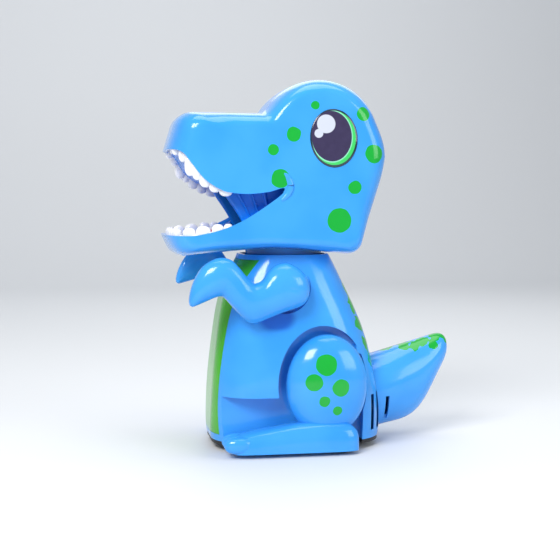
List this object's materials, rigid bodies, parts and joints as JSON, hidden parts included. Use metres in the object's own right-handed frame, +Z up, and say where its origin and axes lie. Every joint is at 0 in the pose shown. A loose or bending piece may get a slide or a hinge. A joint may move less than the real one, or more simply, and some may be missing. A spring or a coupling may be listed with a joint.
{
  "type": "bubble machine",
  "caption": "Dinosaur-shaped battery bubble machine: ring wheel and fan in the open mouth, swivelling drive unit and rollers underneath.",
  "frame": {"origin": "on the floor, under the middle of the whole toy", "axes": "+Z up; the nose points to -X and the tail to +X; the toy's left side faces -Y"},
  "size_m": [0.1824, 0.104, 0.2255],
  "materials": {
    "blue_shell": "glossy injection moulded",
    "green_panel": "glossy injection moulded",
    "eye_print": "glossy print",
    "tooth_white": "glossy injection moulded",
    "liner_blue": "satin moulded",
    "tongue_red": "glossy moulded",
    "ring_yellow": "glossy moulded",
    "white_gear": "matt moulded",
    "steel": "bright steel",
    "motor_can": "plated can",
    "black_plastic": "matt moulded",
    "roller_grey": "matt moulded",
    "tyre_rubber": "matt rubber",
    "cell_jacket": "printed sleeve",
    "contact_metal": "nickel plated",
    "board_green": "solder mask"
  },
  "bodies": {
    "toy_body": {"head_shell_left": "blue_shell", "head_shell_right": "blue_shell", "body_shell_left": "blue_shell", "body_shell_right": "blue_shell", "tail": "blue_shell", "leg_left": "blue_shell", "leg_right": "blue_shell", "neck_collar": "blue_shell", "belly_panel": "green_panel", "eye_left": "eye_print", "eye_right": "eye_print", "upper_teeth": "tooth_white", "lower_teeth": "tooth_white", "mouth_liner": "liner_blue", "reservoir_tray": "liner_blue", "tongue": "tongue_red", "head_screws": "steel", "body_screws": "steel", "leg_screws": "steel", "bubble_wheel_pin": "steel", "roller_pins": "steel", "idler_pin": "steel", "bubble_motor": "motor_can", "fan_motor": "motor_can", "drive_motor": "motor_can", "fan_housing": "black_plastic", "base_plate": "black_plastic", "battery_box": "black_plastic", "battery_door": "black_plastic", "motor_bracket": "black_plastic", "speaker_bracket": "black_plastic", "switch_body": "black_plastic", "speaker": "black_plastic", "board_posts": "black_plastic", "batteries": "cell_jacket", "battery_contacts": "contact_metal", "circuit_board": "board_green"},
    "bubble_wheel": {"bubble_wheel": "ring_yellow"},
    "bubble_drive": {"bubble_pinion": "white_gear", "bubble_motor_shaft": "steel"},
    "fan": {"fan_impeller": "white_gear", "fan_motor_shaft": "steel"},
    "arm_left": {"arm_left": "blue_shell", "arm_screw_left": "steel"},
    "arm_right": {"arm_right": "blue_shell", "arm_screw_right": "steel"},
    "roller_left": {"roller_left": "roller_grey"},
    "roller_right": {"roller_right": "roller_grey"},
    "turntable": {"turntable": "white_gear"},
    "drive_shaft": {"drive_shaft": "steel", "shaft_gear": "white_gear"},
    "drive_axle": {"drive_axle": "steel", "drive_wheels": "roller_grey", "drive_tyres": "tyre_rubber"},
    "idler_gear": {"idler_gear": "white_gear"},
    "drive_pinion": {"motor_pinion": "white_gear", "motor_shaft": "steel"},
    "power_switch": {"power_switch": "black_plastic"}
  },
  "joints": [
    {"name": "arm_left_swing", "type": "hinge", "parent": "toy_body", "child": "arm_left", "pos_m": [-0.0203, -0.04, 0.1001], "axis": [0, 1, 0], "range_deg": [-20, 12]},
    {"name": "arm_right_swing", "type": "hinge", "parent": "toy_body", "child": "arm_right", "pos_m": [-0.0203, 0.04, 0.1001], "axis": [0, 1, 0], "range_deg": [-27.6, 4.4]},
    {"name": "bubble_wheel_spin", "type": "hinge", "parent": "toy_body", "child": "bubble_wheel", "pos_m": [-0.0364, 0, 0.1466], "axis": [1, 0, 0], "continuous": true},
    {"name": "bubble_pinion_spin", "type": "hinge", "parent": "toy_body", "child": "bubble_drive", "pos_m": [-0.0364, 0.0208, 0.1466], "axis": [1, 0, 0], "continuous": true},
    {"name": "fan_spin", "type": "hinge", "parent": "toy_body", "child": "fan", "pos_m": [0.0096, 0, 0.1702], "axis": [0, 1, 0], "continuous": true},
    {"name": "roller_left_spin", "type": "hinge", "parent": "toy_body", "child": "roller_left", "pos_m": [0.0131, -0.042, 0.007], "axis": [0, 1, 0], "continuous": true},
    {"name": "roller_right_spin", "type": "hinge", "parent": "toy_body", "child": "roller_right", "pos_m": [0.0131, 0.042, 0.007], "axis": [0, 1, 0], "continuous": true},
    {"name": "turntable_swivel", "type": "hinge", "parent": "toy_body", "child": "turntable", "pos_m": [-0.0429, 0, 0.0066], "axis": [0, 0, 1], "continuous": true},
    {"name": "drive_axle_spin", "type": "hinge", "parent": "turntable", "child": "drive_axle", "pos_m": [-0.0429, 0, 0.008], "axis": [0, 1, 0], "continuous": true},
    {"name": "drive_shaft_spin", "type": "hinge", "parent": "turntable", "child": "drive_shaft", "pos_m": [-0.0429, 0, 0.02], "axis": [0, 0, 1], "continuous": true},
    {"name": "idler_spin", "type": "hinge", "parent": "toy_body", "child": "idler_gear", "pos_m": [-0.02751, 0, 0.03], "axis": [0, 0, 1], "continuous": true},
    {"name": "motor_spin", "type": "hinge", "parent": "toy_body", "child": "drive_pinion", "pos_m": [-0.01151, 0, 0.032], "axis": [0, 0, 1], "continuous": true},
    {"name": "power_switch_slide", "type": "slide", "parent": "toy_body", "child": "power_switch", "axis": [0, 1, 0], "range_m": [0, 0.006]}
  ],
  "couplings": [
    {"joint": "bubble_pinion_spin", "follows": "bubble_wheel_spin", "ratio": -5.5},
    {"joint": "drive_shaft_spin", "follows": "drive_axle_spin", "ratio": -2},
    {"joint": "motor_spin", "follows": "idler_spin", "ratio": -4}
  ]
}
